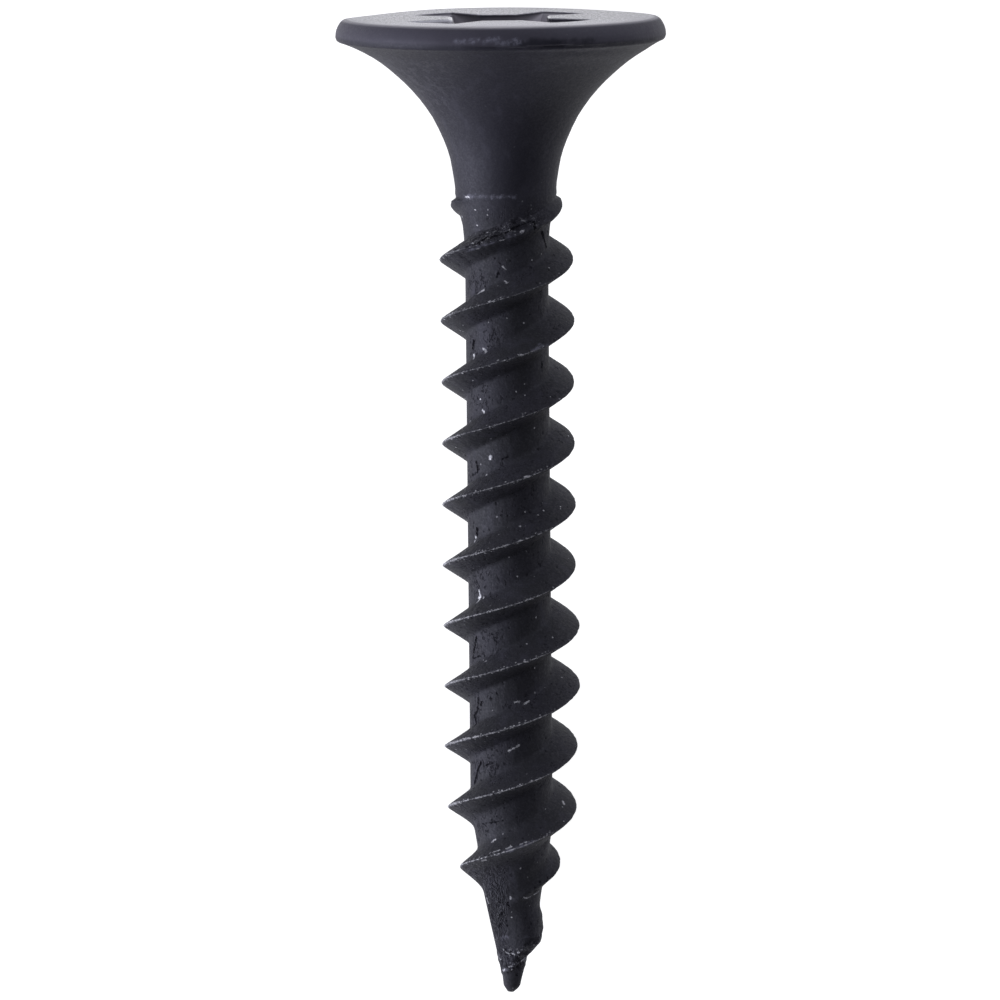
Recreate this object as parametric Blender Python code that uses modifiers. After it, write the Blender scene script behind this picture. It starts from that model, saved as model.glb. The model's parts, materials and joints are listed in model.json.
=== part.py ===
"""Drywall screw with a bugle head, a cross recess and a coarse twin thread, lying at rest.

The screw is modelled upright, with the centre of the head's face at the origin and the tip
at -Z, and is then laid down on its rim and one thread crest, with its head towards +Y.
Metres, +Z up. Depths run down from the head's face, rises run up from the tip, and an
angle round the axis is counted from +X.
"""

import math

import bmesh
import bpy
import numpy as np
from mathutils import Matrix, Vector
from mathutils.geometry import interpolate_bezier

# Whole screw
LENGTH = 0.0250

# Fineness. The facets are even in number and not a multiple of four, so that one of the rim's
# facets, and not a corner between two, lies underneath when the screw rests.
FACETS = 46
RIM_POINTS = 5
FLARE_POINTS = 14
CONE_POINTS = 5
END_POINTS = 4
ROUND_STEPS = 2

# Head: a thin lip over a trumpet-shaped underside
HEAD_RADIUS = 0.004125
TOP_FACE_RADIUS = 0.00382
RIM_DEPTH = 0.00047
LIP_ROUND = 0.00005
LIP_DEPTH = 0.00056
FLARE_RADIUS = 0.00363
FLARE_DEPTH = 0.00073
FLARE_SLOPE = math.radians(31)
FLARE_PULL = 0.00093
NECK_PULL = 0.00197

# Shank under the head
NECK_RADIUS = 0.001272
NECK_DEPTH = 0.00441
STEP_RADIUS = 0.00110
STEP_DEPTH = 0.00520
ROOT_RADIUS = 0.00104
ROOT_DEPTH = 0.00650

# Point: slightly swollen, with a blunt end and a flat facet on its front
POINT_RISE = 0.00468
POINT_TOP_SLOPE = 0.14
POINT_END_SLOPE = 0.215
POINT_END_RADIUS = 0.00022
POINT_END_RISE = 0.00020
FACET_RISE = 0.00090
FACET_ANGLE = math.radians(20)
FACET_TURN = math.radians(35)

# Thread: two ridges, half a turn apart
STARTS = 2
LEAD = 0.003117
CREST_RADIUS = 0.00169
CREST_FLAT = 0.00004
FLANK_ANGLE = math.radians(29.8)
FIRST_CREST_DEPTH = 0.004521
BLUNT_FLAT = 0.00026
RIDGE_ROOTING = 0.00005

# Where the ridges run out under the neck, on the level edge that the rolling dies left
THREAD_TOP_DEPTH = 0.00446
RUNOUT_DEPTH = 0.0059
RUNOUT_RADIUS = 0.001395
RUNOUT_DROP = 0.00016

# Where the ridges run out at the point: rises of the stations, and each ridge's crest there
FADE_RISES = (0.00175, 0.00331, 0.00487, 0.00566)
LONG_RIDGE_RADII = (0.00076, 0.001375, 0.00162)
SHORT_RIDGE_RADII = (0.00040, 0.001196, 0.00162)
LONG_RIDGE_RISE = 0.00144
SHORT_RIDGE_RISE = 0.00245

# Cross recess
RECESS_RADIUS = 0.0025
RECESS_DEPTH = 0.00275
RECESS_TAPER = math.radians(26.5)
RECESS_FLOOR = math.radians(28)
WING_WIDTH = 0.00100
CORE_WIDTH = 0.00230
RECESS_ROUND = 0.00012
RECESS_TURN = math.radians(45)

MERGE = 1e-7
CLEAR = 0.001


def clear_scene():
    for old in list(bpy.data.objects):
        bpy.data.objects.remove(old)


def collection(name):
    made = bpy.data.collections.new(name)
    bpy.context.scene.collection.children.link(made)
    return made


def phosphate():
    """Matt black phosphate on steel."""
    material = bpy.data.materials.new("black_phosphate")
    material.use_nodes = True
    shader = material.node_tree.nodes["Principled BSDF"]
    shader.inputs["Base Color"].default_value = (0.018, 0.018, 0.022, 1.0)
    shader.inputs["Metallic"].default_value = 0.3
    shader.inputs["Roughness"].default_value = 0.55
    return material


def new_object(name, mesh, where):
    made = bpy.data.objects.new(name, mesh)
    where.objects.link(made)
    return made


def as_tool(made):
    """Mark an object that only cuts or joins another."""
    made.hide_render = True
    made.display_type = "WIRE"
    return made


def bezier(start, start_handle, end_handle, end, points):
    """Points (radius, height) on a curve, without its first one."""
    handles = [Vector((*p, 0.0)) for p in (start, start_handle, end_handle, end)]
    return [(p.x, p.y) for p in interpolate_bezier(*handles, points + 1)[1:]]


def turned(name, profile, where):
    """A turned shape from a profile of (radius, height) points, top to bottom."""
    mesh = bpy.data.meshes.new(name)
    edges = [(k, k + 1) for k in range(len(profile) - 1)]
    mesh.from_pydata([(radius, 0.0, height) for radius, height in profile], edges, [])
    made = new_object(name, mesh, where)
    spin = made.modifiers.new("turn", "SCREW")
    spin.axis = "Z"
    spin.steps = spin.render_steps = FACETS
    spin.use_merge_vertices = True
    spin.merge_threshold = MERGE
    spin.use_smooth_shade = True
    return made


def boolean(made, tool, operation):
    cut = made.modifiers.new(tool.name, "BOOLEAN")
    cut.operation = operation
    cut.object = tool
    cut.solver = "EXACT"


def head_profile():
    """From the middle of the face, over the rounded rim and lip, down the trumpet to the neck."""
    face = (TOP_FACE_RADIUS, 0.0)
    rim = (HEAD_RADIUS, -RIM_DEPTH)
    lip = (HEAD_RADIUS - LIP_ROUND, -LIP_DEPTH)
    flare = (FLARE_RADIUS, -FLARE_DEPTH)
    neck = (NECK_RADIUS, -NECK_DEPTH)
    # a quarter round reaches its corner at 0.55 of each side
    shoulder = 0.55
    out = (face[0] + shoulder * (HEAD_RADIUS - TOP_FACE_RADIUS), 0.0)
    down = (HEAD_RADIUS, -RIM_DEPTH * (1 - shoulder))
    inward = (
        flare[0] - FLARE_PULL * math.cos(FLARE_SLOPE),
        flare[1] - FLARE_PULL * math.sin(FLARE_SLOPE),
    )
    above_neck = (neck[0], neck[1] + NECK_PULL)
    return [
        (0.0, 0.0),
        face,
        *bezier(face, out, down, rim, RIM_POINTS),
        lip,
        flare,
        *bezier(flare, inward, above_neck, neck, FLARE_POINTS),
    ]


def point_profile():
    """The swollen cone of the point and its blunt end."""
    top = (ROOT_RADIUS, POINT_RISE - LENGTH)
    end = (POINT_END_RADIUS, POINT_END_RISE - LENGTH)
    third = (POINT_RISE - POINT_END_RISE) / 3
    below_top = (top[0] - POINT_TOP_SLOPE * third, top[1] - third)
    above_end = (end[0] + POINT_END_SLOPE * third, end[1] + third)
    under = (end[0] - POINT_END_SLOPE * POINT_END_RISE, POINT_END_RISE / 4 - LENGTH)
    beside = (end[0] / 2, -LENGTH)
    cone = [top, *bezier(top, below_top, above_end, end, CONE_POINTS)]
    return cone + bezier(end, under, beside, (0.0, -LENGTH), END_POINTS)


def shank_profile():
    return [(STEP_RADIUS, -STEP_DEPTH), (ROOT_RADIUS, -ROOT_DEPTH)]


def core_radius(height, profile):
    """The turned core's radius at a height."""
    outline = [p for p in profile if p[1] < 0.0]
    heights = [p[1] for p in reversed(outline)]
    radii = [p[0] for p in reversed(outline)]
    return float(np.interp(height, heights, radii))


def crest_radius(height, point_radii):
    """A ridge's crest radius: lower where it runs out at the point and under the neck."""
    stations = [rise - LENGTH for rise in FADE_RISES] + [-RUNOUT_DEPTH, -FIRST_CREST_DEPTH]
    radii = [*point_radii, CREST_RADIUS, CREST_RADIUS, RUNOUT_RADIUS]
    return float(np.interp(height, stations, radii))


def ridge_section(angle, height, point_radii, profile):
    """Four corners of a ridge at one angle. A lower ridge is blunter on as wide a foot."""
    crest = crest_radius(height, point_radii)
    full = CREST_RADIUS - ROOT_RADIUS
    core = core_radius(height, profile)
    lost = min(1.0, max(0.0, 1.0 - (crest - core) / full))
    flat = (CREST_FLAT + lost * (BLUNT_FLAT - CREST_FLAT)) / 2
    foot = CREST_FLAT / 2 + (full + RIDGE_ROOTING) * math.tan(FLANK_ANGLE)
    near_top = np.interp(height, (-RUNOUT_DEPTH, -FIRST_CREST_DEPTH), (0.0, 1.0))
    middle = height - RUNOUT_DROP * near_top
    corners = []
    for rise, on_crest in ((-foot, False), (-flat, True), (flat, True), (foot, False)):
        z = middle + rise
        radius = crest if on_crest else core_radius(z, profile) - RIDGE_ROOTING
        corners.append(Vector((radius * math.cos(angle), radius * math.sin(angle), z)))
    return corners


def ridge(name, start_angle, end_rise, point_radii, profile, where):
    """One right-hand helical ridge, lofted through its sections from the point up."""
    first = math.ceil((end_rise - LENGTH + FIRST_CREST_DEPTH) / LEAD * FACETS)
    last = math.floor(FACETS / STARTS)
    shape = bmesh.new()
    loops = []
    for step in range(first, last + 1):
        # half a facet off the core's own edges
        turn = (step + 0.5) / FACETS
        angle = start_angle + 2 * math.pi * turn
        height = LEAD * turn - FIRST_CREST_DEPTH
        section = ridge_section(angle, height, point_radii, profile)
        loops.append([shape.verts.new(p) for p in section])
    for low, high in zip(loops, loops[1:]):
        for a, b in zip(range(4), (1, 2, 3, 0)):
            shape.faces.new((low[a], high[a], high[b], low[b]))
    shape.faces.new(loops[0])
    shape.faces.new(reversed(loops[-1]))
    cut = bmesh.ops.bisect_plane(
        shape,
        geom=[*shape.verts, *shape.edges, *shape.faces],
        dist=MERGE,
        plane_co=(0.0, 0.0, -THREAD_TOP_DEPTH),
        plane_no=(0.0, 0.0, 1.0),
        clear_outer=True,
    )
    rim = [g for g in cut["geom_cut"] if isinstance(g, bmesh.types.BMEdge)]
    bmesh.ops.holes_fill(shape, edges=rim)
    bmesh.ops.recalc_face_normals(shape, faces=shape.faces)
    mesh = bpy.data.meshes.new(name)
    shape.to_mesh(mesh)
    shape.free()
    return as_tool(new_object(name, mesh, where))


def cross_outline():
    """The recess seen from above: four wings, with flats across the corners between them."""
    half, reach = WING_WIDTH / 2, RECESS_RADIUS + CLEAR
    along = CORE_WIDTH / math.sqrt(2) - half
    points = []
    for wing in range(4):
        turn = Matrix.Rotation(RECESS_TURN + wing * math.pi / 2, 2)
        for x, y in ((along, -half), (reach, -half), (reach, half), (along, half)):
            points.append(turn @ Vector((x, y)))
    return points


def cross_prism(where):
    """A prism on the cross, as deep as the recess, with its corners rounded."""
    curve = bpy.data.curves.new("recess_cross", "CURVE")
    curve.dimensions = "2D"
    curve.fill_mode = "BOTH"
    curve.extrude = RECESS_DEPTH + CLEAR
    outline = cross_outline()
    spline = curve.splines.new("POLY")
    spline.points.add(len(outline) - 1)
    for point, (x, y) in zip(spline.points, outline):
        point.co = (x, y, 0.0, 1.0)
    spline.use_cyclic_u = True
    flat = new_object("recess_cross_outline", curve, where)
    graph = bpy.context.evaluated_depsgraph_get()
    mesh = bpy.data.meshes.new_from_object(flat.evaluated_get(graph))
    bpy.data.objects.remove(flat)
    shape = bmesh.new()
    shape.from_mesh(mesh)
    bmesh.ops.remove_doubles(shape, verts=shape.verts, dist=MERGE)
    bmesh.ops.dissolve_limit(
        shape, angle_limit=math.radians(1), verts=shape.verts, edges=shape.edges
    )
    bmesh.ops.recalc_face_normals(shape, faces=shape.faces)
    upright = [e for e in shape.edges if abs(e.verts[0].co.z - e.verts[1].co.z) > CLEAR]
    bmesh.ops.bevel(
        shape,
        geom=upright,
        offset=RECESS_ROUND,
        segments=ROUND_STEPS,
        profile=0.5,
        affect="EDGES",
    )
    shape.to_mesh(mesh)
    shape.free()
    return as_tool(new_object("recess_cross", mesh, where))


def recess(where):
    """The driver's turned point, kept only where its four wings are."""
    steep, shallow = math.tan(RECESS_TAPER), math.tan(RECESS_FLOOR)
    floor_depth = (RECESS_DEPTH - RECESS_RADIUS * shallow) / (1 - steep * shallow)
    floor_radius = RECESS_RADIUS - floor_depth * steep
    profile = [
        (0.0, CLEAR),
        (RECESS_RADIUS + CLEAR * steep, CLEAR),
        (floor_radius, -floor_depth),
        (0.0, -RECESS_DEPTH),
    ]
    point = as_tool(turned("recess_point", profile, where))
    cross = cross_prism(where)
    boolean(point, cross, "INTERSECT")
    return [point, cross]


def point_facet(where):
    """A block that leaves the flat facet on the front of the blunt point."""
    shape = bmesh.new()
    bmesh.ops.create_cube(shape, size=2 * POINT_RISE)
    mesh = bpy.data.meshes.new("point_facet")
    shape.to_mesh(mesh)
    shape.free()
    block = as_tool(new_object("point_facet", mesh, where))
    front = -(POINT_END_RADIUS + POINT_END_SLOPE * (FACET_RISE - POINT_END_RISE))
    turn = Matrix.Rotation(FACET_TURN, 4, "Z")
    tilt = Matrix.Rotation(FACET_ANGLE, 4, "X")
    edge = Matrix.Translation((0.0, front, FACET_RISE - LENGTH))
    block.matrix_world = turn @ edge @ tilt @ Matrix.Translation((0.0, -POINT_RISE, 0.0))
    return block


def points_of(made):
    """The finished mesh's corners, as an array."""
    graph = bpy.context.evaluated_depsgraph_get()
    mesh = made.evaluated_get(graph).to_mesh()
    return np.array([v.co for v in mesh.vertices])


def resting_tilt(corners):
    """The slope of the axis when the screw lies on its rim and a crest, on the +Y side."""
    outer = []
    for z, y in sorted((p[2], p[1]) for p in corners):
        while len(outer) > 1:
            (z0, y0), (z1, y1) = outer[-2:]
            if (z1 - z0) * (y - y0) < (y1 - y0) * (z - z0):
                break
            outer.pop()
        outer.append((z, y))
    spans = [(b[0] - a[0], b[1] - a[1]) for a, b in zip(outer, outer[1:])]
    along, up = max(spans)
    return math.atan2(up, along)


def lay_down(made, tools, where):
    """Turn everything onto its side, head towards +Y, and stand it over the origin."""
    corners = points_of(made)
    turn = Matrix.Rotation(resting_tilt(corners) - math.pi / 2, 4, "X")
    laid = corners @ np.array(turn.to_3x3()).T
    low, high = laid.min(axis=0), laid.max(axis=0)
    middle = (low + high) / 2
    rest = new_object("rest", None, where)
    for piece in (made, *tools):
        piece.parent = rest
    rest.matrix_world = Matrix.Translation((-middle[0], -middle[1], -low[2])) @ turn


def build():
    clear_scene()
    parts = collection("drywall_screw")
    tools = collection("tools")
    profile = head_profile() + shank_profile() + point_profile()
    screw = turned("screw", profile, parts)
    screw.data.materials.append(phosphate())
    long_ridge = ridge("ridge_long", 0.0, LONG_RIDGE_RISE, LONG_RIDGE_RADII, profile, tools)
    short_ridge = ridge(
        "ridge_short", 2 * math.pi / STARTS, SHORT_RIDGE_RISE, SHORT_RIDGE_RADII, profile, tools
    )
    for piece in (long_ridge, short_ridge):
        boolean(screw, piece, "UNION")
    cutters = recess(tools)
    facet = point_facet(tools)
    boolean(screw, cutters[0], "DIFFERENCE")
    boolean(screw, facet, "DIFFERENCE")
    lay_down(screw, [long_ridge, short_ridge, *cutters, facet], parts)


build()
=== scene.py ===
"""The looks of the drywall screw: its fine mesh, black phosphate, floor, light and camera.

The skin is one closed mesh. It is worked out in the screw's own frame, in millimetres: the
centre of the head's face is the origin, the tip is at -Z, and an angle is counted from +X.
The photograph shows the -Y side. Along the thread the rows of the mesh follow the helix, so
that the crests stay sharp.
"""

import functools
import itertools
import json
import math

import bmesh
import bpy
import numpy as np
from mathutils import Matrix, Vector
from mathutils.bvhtree import BVHTree


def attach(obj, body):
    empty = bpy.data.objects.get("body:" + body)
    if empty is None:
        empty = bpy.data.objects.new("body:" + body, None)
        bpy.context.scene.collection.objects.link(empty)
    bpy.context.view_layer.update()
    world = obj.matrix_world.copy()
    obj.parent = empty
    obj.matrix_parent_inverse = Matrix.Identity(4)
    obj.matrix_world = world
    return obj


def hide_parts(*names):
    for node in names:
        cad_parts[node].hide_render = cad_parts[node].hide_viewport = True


MM = 0.001
TURN = 2 * math.pi

# Camera, as read from the photograph: how far off, how far above the head's face, its roll
# about the view line, and in pixels the focal length and where the screw's middle lies
IMAGE_SIZE = 1000
CAMERA_DISTANCE = 140.77
CAMERA_RISE = math.radians(8.79)
CAMERA_ROLL = math.radians(-0.51)
FOCAL_PIXELS = 5553.0
MIDDLE_PIXEL = (508.96, 511.15)
SENSOR = 36.0
# What a pixel covers at the screw
PIXEL = CAMERA_DISTANCE / FOCAL_PIXELS
# Marks longer than this many pixels are followed along the skin in pieces
MARK_PIECE = 9.0
# Cracks with at least this half width, in pixels, are also cut into the relief
BOLD_CRACK = 0.7

# Light: the studio is bright low down all round, and dim overhead behind the camera
HORIZON_LIGHT = 1.0
ZENITH_LIGHT = 0.36
# How much of that light is left on the sides away from the windows at the left and the head
FAR_SIDE = 0.43
# and how much towards the two ends of the screw
END_LIGHT = 0.52
# Where it fades: with the height, away from the windows, and towards the ends
RISE_SPAN = (0.1, 0.8)
SIDE_SPAN = (-0.6, 0.5)
END_SPAN = (0.2, 0.9)
WINDOW_WAY = (-0.75, 0.5)
LIGHT_TINT = (0.91, 0.92, 1.0)
# Softboxes: place, size and power
SOFTBOXES = {
    "left_softbox": ((-0.45, -0.12, 0.08), 0.30, 4.6),
    "right_softbox": ((0.30, 0.32, 0.16), 0.25, 0.82),
}
FLOOR_TONE = 0.45
FLOOR_GLOW = 0.89
FLOOR_HALF = 1.5

# Colours: the coating on the head, on the thread and in patches, its crystals and streaks
HEAD_TONE = (0.0114, 0.0108, 0.0165)
THREAD_TONE = (0.0140, 0.0141, 0.0168)
PATCH_TONE = (0.0150, 0.0145, 0.0208)
CRYSTAL_TONE = (0.040, 0.040, 0.047)
STREAK_TONE = (0.037, 0.036, 0.050)
# the rim; the face, whose pale grey is a painted reflection of the bright surroundings, with its dim
# flecks; the recess, whose pale grey is painted light; and the painted highlight on its edge
RIM_TONE = (0.036, 0.034, 0.046)
FACE_REFLECTION_TONE = (0.43, 0.42, 0.46)
FLECK_TONE = (0.09, 0.09, 0.10)
RECESS_LIGHT_TONE = (0.42, 0.40, 0.44)
EDGE_HIGHLIGHT_TONE = (0.60, 0.60, 0.64)
# and the marks on it, down to the steel
# The mottle is also painted light: it lies only on the left of the trumpet and lightens it
MOTTLE_AND_LEFT_LIGHT_TONE = (0.055, 0.054, 0.065)
# Painted shade under the lip and under the collar
PAINTED_SHADE_TONE = (0.004, 0.004, 0.008)
SCUFF_TONE = (0.14, 0.14, 0.18)
# The flakes' tone is a painted highlight, on the left near the tip
FLAKE_HIGHLIGHT_TONE = (0.09, 0.09, 0.10)
HOLE_TONE = (0.003, 0.003, 0.005)
DULL_STEEL = (0.20, 0.20, 0.22)
BRIGHT_STEEL = (0.55, 0.55, 0.58)
SPECULAR_TINT = (0.85, 0.86, 1.0)
SPECULAR_LEVEL = 0.26
# How high the flakes, the lumps and the crystals stand, and how deep the holes and tears go
FLAKE_RELIEF = 0.05
LUMP_RELIEF = 0.022
GRAIN_RELIEF = 0.006
HOLE_RELIEF = -0.028
TEAR_RELIEF = -0.03

# The record's mount lies this far off the axis, on the land in front of the recess
MOUNT_OFF_AXIS = 3.2

# Fineness
COLUMNS = 192
HEAD_COLUMNS = 2 * COLUMNS
SHARP_ANGLE = math.radians(38)

# Head: rim and trumpet as (depth, radius), from the top of the shank up to the face
NECK = (
    (4.13, 1.288), (3.83, 1.335), (3.53, 1.39), (3.30, 1.458), (3.08, 1.54), (2.77, 1.677),
    (2.47, 1.83), (2.24, 1.983), (2.02, 2.145), (1.80, 2.333), (1.60, 2.526), (1.42, 2.72),
    (1.25, 2.915), (1.09, 3.118), (0.96, 3.308), (0.86, 3.475),
)
RIM = (
    (0.80, 3.582), (0.75, 3.668), (0.71, 3.742), (0.675, 3.813), (0.645, 3.872), (0.62, 3.927),
    (0.60, 3.973), (0.58, 4.022), (0.565, 4.062), (0.553, 4.09), (0.54, 4.106), (0.52, 4.12),
    (0.49, 4.132), (0.455, 4.136), (0.42, 4.134), (0.38, 4.131), (0.33, 4.125), (0.29, 4.115),
    (0.25, 4.102), (0.21, 4.085), (0.175, 4.07), (0.14, 4.05), (0.10, 4.027), (0.07, 4.004),
    (0.045, 3.98), (0.025, 3.955), (0.010, 3.925), (0.002, 3.885),
)
# A ragged groove under the lip, deepest across the front
GROOVE_DEPTH = 0.455
GROOVE_CUT = 0.085
GROOVE_MIDDLE = -math.pi / 2 + 0.25
GROOVE_SPAN = 0.85
# How far the middle lies to the left at each depth: the head was struck off-centre
OFF_CENTRE = ((0.0, 0.10), (0.55, 0.10), (0.68, 0.054), (0.8, 0.022), (1.0, 0.005), (3.1, 0.004),
              (4.1, 0.01), (4.8, 0.0), (20.0, 0.0), (20.8, -0.04), (21.6, -0.04), (22.3, 0.02),
              (22.9, 0.01), (23.6, 0.0))
# The face dips at the back left and the back right: angle, half width and depth
FACE_DIPS = ((2.62, 0.75, 0.055), (0.70, 0.90, 0.032))

# Shank
LEDGE_TOP = 4.424
LEDGE = 4.574
# The shank's radius halfway from the ledge to the trumpet
SHANK_RADIUS = 1.274
CORE = ((4.40, 1.272), (4.90, 1.175), (5.20, 1.095), (5.55, 1.062), (6.50, 1.04), (20.32, 1.04))
LENGTH = 25.0
POINT_RISE = 4.68
POINT_TOP_SLOPE = 0.14
POINT_END_SLOPE = 0.215
POINT_END_RADIUS = 0.22
POINT_END_RISE = 0.20
POINT_RINGS_RISE = 1.22
POINT_RINGS = 36

# Thread: two ridges, half a turn apart
LEAD = 3.117
CREST_RADIUS = 1.69
ROOT_RADIUS = 1.04
CREST_FLAT = 0.04
BLUNT_FLAT = 0.26
FLANK_ANGLE = math.radians(29.8)
FIRST_CREST = 4.521
FOOT_FILLET = 0.12
RUNOUT_DEPTH = 5.9
RUNOUT_RADIUS = 1.395
RUNOUT_DROP = 0.16
# Crest radii of the two ridges at rises from the tip
LONG_RIDGE = ((0.5, 0.0), (1.0, 0.36), (1.30, 0.54), (1.60, 0.775), (1.777, 0.79), (2.10, 0.80),
              (2.45, 0.96), (2.80, 1.18), (3.10, 1.31), (3.335, 1.385), (4.87, 1.667), (5.66, 1.69))
SHORT_RIDGE = ((1.90, 0.0), (2.15, 0.42), (2.45, 0.61), (2.70, 0.735), (2.90, 0.84), (3.08, 1.03),
               (3.20, 1.14), (3.336, 1.21), (3.60, 1.28), (4.87, 1.64), (5.66, 1.69))
# Between these depths, near the tip, the flanks come to lean more and the crests sit lower
TIP_SPAN = (18.6, 21.4)
TIP_FLANK = math.radians(5)
TIP_DROP = 0.045
TIP_FILLET = 0.14
# The right-hand crests bulge a little where the blank was fuller
SWELL = 0.13
SWELL_DEPTH = 16.2
SWELL_SPAN = 1.9
# The first crest is torn across the front
TORN_DEPTH = 5.40
TORN_SPAN = 0.85
TORN_BAND = (0.22, 0.40)
# Height and size of the waves and nicks along the crests, and of the torn crest's chips and lumps
WAVES = (0.012, 0.9)
NICKS = (0.010, 0.16)
CHIPS = (0.09, 0.22)
TORN_LUMPS = (0.075, 0.17)
TORN_LOSS = 0.02

# Fin at the end of the long ridge: how far it stands out of the point at each rise
FIN = ((0.96, 0.0), (1.33, 0.265), (1.50, 0.262), (1.75, 0.235), (2.04, 0.18), (2.25, 0.075),
       (2.45, 0.062), (2.9, 0.052), (3.2, 0.0))
FIN_FRONT = math.radians(-115)
FIN_FULL = (math.radians(-25), math.radians(12))
FIN_BACK = math.radians(55)
# The blunt end is pinched flat in front, under a ragged edge that runs across the point: its
# height where x is 0, its slope, and how far the front and the sides are set back under it
PINCH_Z = -24.285
PINCH_SLOPE = 0.70
PINCH_FRONT = 0.05
PINCH_SIDE = 0.022
PINCH_RAGGED = (0.03, 0.25)
# Above it the steel is torn, between these rises and a little higher at the right
TORN_TIP_RISES = (0.6, 0.75, 1.15, 1.35)
TORN_TIP_RIGHT = 0.3
TORN_TIP_LUMPS = (0.018, 0.16)
# How far the tip bends to the left over its last stretches
TIP_BENDS = ((0.8, 0.035), (0.14, 0.025))
# Mesh rows across one ridge, as heights over its crest
CREST_ROWS = (0.022, 0.07, 0.14, 0.225, 0.31, 0.37, 0.42, 0.48, 0.57, 0.68)
# Distance from a crest past which it no longer counts
FAR_OFF = 0.2

# Cross recess
RECESS_RADIUS = 2.5
RECESS_DEPTH = 2.75
RECESS_TAPER = math.radians(26.5)
RECESS_FLOOR = math.radians(28)
WING_WIDTH = 1.00
WING_END_WIDTH = 1.50
CORE_WIDTH = 2.34
RECESS_ROUND = 0.13
RECESS_TURN = math.radians(47)
# The edge of the land at the left is rolled over by this much
ROLLED = 0.10
# The face's share inside the recess, which marks where the recess's painted light goes
IN_RECESS = -1.0
# Rings of the land, the recess's wall, its cone and its floor, as shares of the way across, and
# of its rounded edge as how far out, how deep and how bright its painted highlight is
LAND_RINGS = (0.04, 0.12, 0.24, 0.38, 0.52, 0.66, 0.78, 0.88, 0.95, 1.0)
EDGE_RINGS = ((0.045, 0.003, 1.35), (0.018, 0.012, 1.5), (0.0, 0.04, 0.0))
WALL_RINGS = (0.2, 0.4, 0.6, 0.8, 1.0)
CONE_RINGS = (0.25, 0.5, 0.75, 1.0)
FLOOR_RINGS = (0.75, 0.5, 0.25)

# Marks on the front, where the photograph shows them, in its pixels: the two ends, or the place
# of a dot, and the half width
BARE_MARKS = {
    "collar": (466, 197, 469, 197, 0.6),
    "torn crest": (521.5, 232, 523, 230.5, 1.3),
    "torn crest middle": (500.5, 240.4, 503, 240.2, 0.7),
    "torn crest left": (477, 249, 478, 248.5, 0.6),
    "torn spot": (487.3, 232, 0.8),
    "torn spot low": (472.5, 243.2, 473.2, 243.2, 0.8),
    "neck spot": (477, 225.3, 0.55),
    "neck spot upper": (474.7, 209.6, 0.5),
    "root 1 upper": (503, 267, 505, 269, 0.8),
    "root 1 lower": (505, 281, 507, 283, 0.8),
    "streak 1": (478.5, 293.5, 483.5, 290.5, 1.1),
    "crest 2": (489, 301.5, 494, 301.5, 0.9),
    "tooth 2": (460, 330.5, 0.9),
    "root 2 middle": (483.5, 349, 486, 352, 1.1),
    "root 2 left": (473.5, 355, 473.5, 359, 1.1),
    "crest 3 left": (498, 360.5, 1.0),
    "crest 3 right": (518, 354.7, 522.5, 354.7, 0.9),
    "root 3": (482.5, 410, 484.5, 413.5, 0.7),
    "root 3 edge": (470, 421.5, 0.9),
    "root 4": (490.5, 456.5, 490.5, 459, 1.2),
    "root 4 lower": (486.5, 475, 0.8),
    "crest 5": (525, 476.5, 529, 476.5, 1.0),
    "root 5 left": (476, 537, 474.7, 541.5, 1.0),
    "root 5 right": (538, 515, 1.0),
    "root 5 middle": (497, 516.5, 0.7),
    "root 5 under": (520, 526, 0.7),
    "flank 6": (478.5, 566.5, 0.9),
    "root 6 upper": (479, 590, 480, 596, 0.9),
    "root 6 lower": (480, 596, 477.5, 602, 1.4),
    "root 6 right": (483.5, 598, 0.8),
    "root 7": (485.5, 661.5, 0.8),
    "crest 8": (524.5, 661.5, 526.5, 662, 0.9),
    "root 8 left": (515, 702, 519, 701.8, 0.8),
    "root 8 right": (524.5, 704, 529, 701, 0.8),
    "crest 9": (462, 739, 478, 736.5, 0.8),
    "streak 9": (508.5, 751, 519, 745, 0.8),
    "flank 9": (456, 749.5, 0.8),
    "flank 10": (563, 801.5, 564, 804, 1.2),
    "root 11": (491, 842.5, 495.5, 839.5, 0.9),
    "crest 11 left": (482, 861, 486, 860, 0.6),
    "crest 11": (490, 853, 500, 850, 0.4),
    "crest 11 bright": (506, 848.5, 512, 846.5, 0.6),
    "crest 11 right": (520, 844.5, 526, 842, 0.5),
    "short ridge": (523.5, 897.5, 527, 898.3, 0.4),
    "short ridge middle": (527, 898.3, 535, 894, 0.4),
    "short ridge end": (535, 894, 538.5, 891.7, 0.4),
    "scratch left": (503.5, 950, 507, 953, 0.35),
    "scratch middle": (507, 953, 513, 953.5, 0.35),
    "scratch right": (513, 953.5, 519, 957, 0.4),
    "pinch edge": (509, 967, 516, 963, 0.4),
    "pinch end": (521, 961, 525, 958.5, 0.45),
    "cone left": (487, 899, 488.5, 903, 0.6),
    "root 11 fine": (510.5, 897, 510.5, 899, 0.5),
    "tip": (519, 952.5, 519, 953.5, 1.1),
    "tip left": (503.5, 970.5, 504.5, 969.5, 0.8),
}
# Painted shade in the groove under the lip and under the collar, given in the same way
PAINTED_SHADE_MARKS = {
    "under the lip": (512, 43.5, 592, 40.5, 1.8),
    "under the lip middle": (530, 43.0, 566, 41.5, 2.6),
    "under the collar": (458, 200, 468, 202, 1.6),
}
SMEARS = {
    "lip left": (456, 41.0, 464, 41.0, 0.6),
    "lip left middle": (473, 40.5, 479, 40.5, 1.3),
    "lip middle": (486, 41, 497, 38.5, 2.0),
    "lip low": (497, 43, 504, 43.5, 1.0),
    "lip right": (509, 42.5, 521, 41.5, 1.7),
}
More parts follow.
